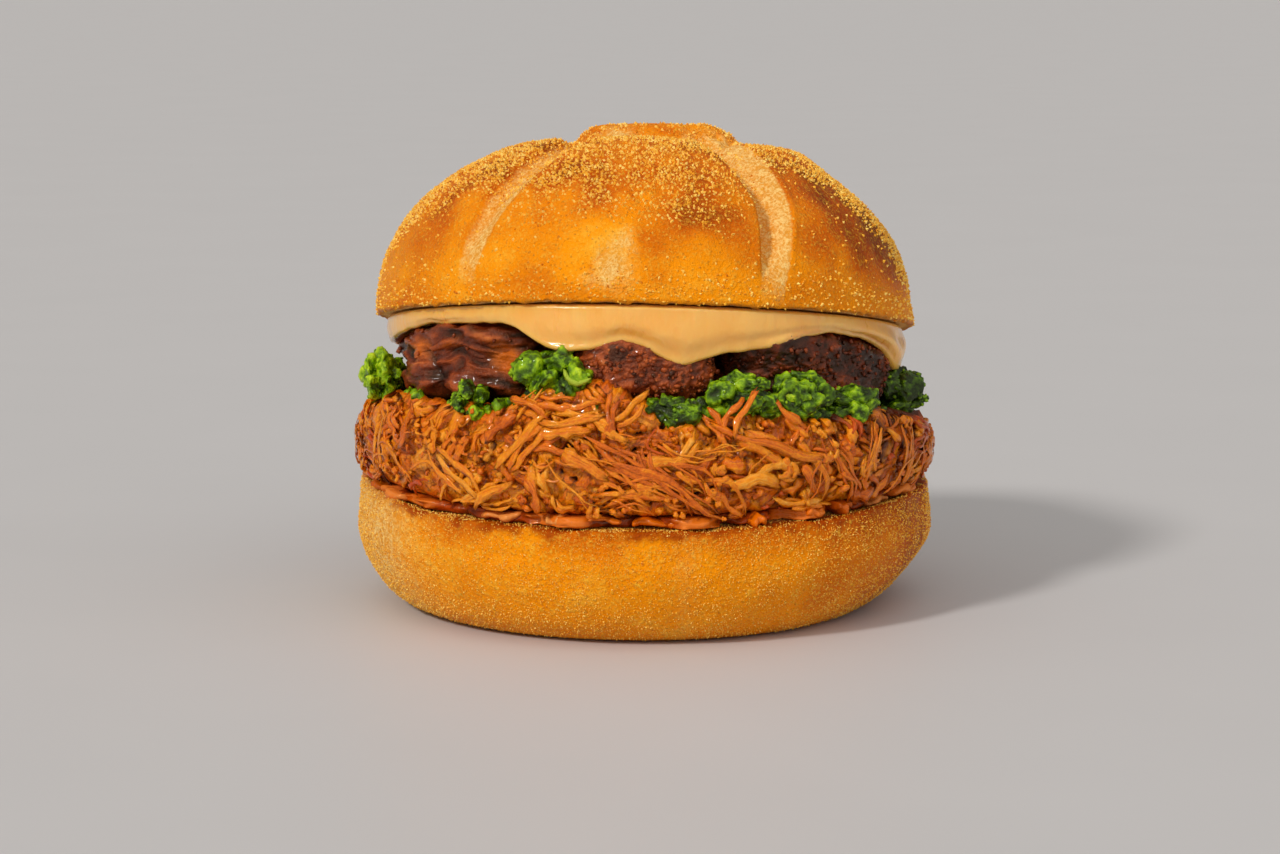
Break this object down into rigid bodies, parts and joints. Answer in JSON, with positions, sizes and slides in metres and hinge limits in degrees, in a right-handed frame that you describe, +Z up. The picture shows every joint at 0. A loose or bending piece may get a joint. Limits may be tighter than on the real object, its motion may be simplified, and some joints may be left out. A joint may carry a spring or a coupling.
{
  "type": "filled bread roll",
  "caption": "Round star-cut bread roll filled with pulled meat, chopped greens, browned meat pieces and cream sauce, standing on its lower half.",
  "frame": {"origin": "on the underside of the lower roll half, in the middle of the roll", "axes": "+Z up; the side that the picture shows faces -Y, and its right end is towards +X"},
  "size_m": [0.1159, 0.1164, 0.0951],
  "materials": {
    "crust": "golden baked crust dusted with semolina, satin where bare",
    "braised_onion": "wet braised onion in red-brown juice",
    "pulled_meat": "glossy orange-brown sauce on meat fibres",
    "greens": "wet chopped cooked greens",
    "browned_meat": "dark browned meat, semi-gloss, crumbly",
    "cream_sauce": "smooth orange-beige cream sauce, semi-gloss"
  },
  "bodies": {
    "root": {"bottom_roll": "crust", "braised_onion": "braised_onion", "pulled_meat": "pulled_meat", "chopped_greens": "greens", "browned_meat_left": "browned_meat", "browned_meat_middle": "browned_meat", "browned_meat_right": "browned_meat", "browned_meat_back_right": "browned_meat", "browned_meat_back": "browned_meat", "browned_meat_back_left": "browned_meat", "cream_sauce": "cream_sauce", "top_roll": "crust"}
  },
  "joints": []
}
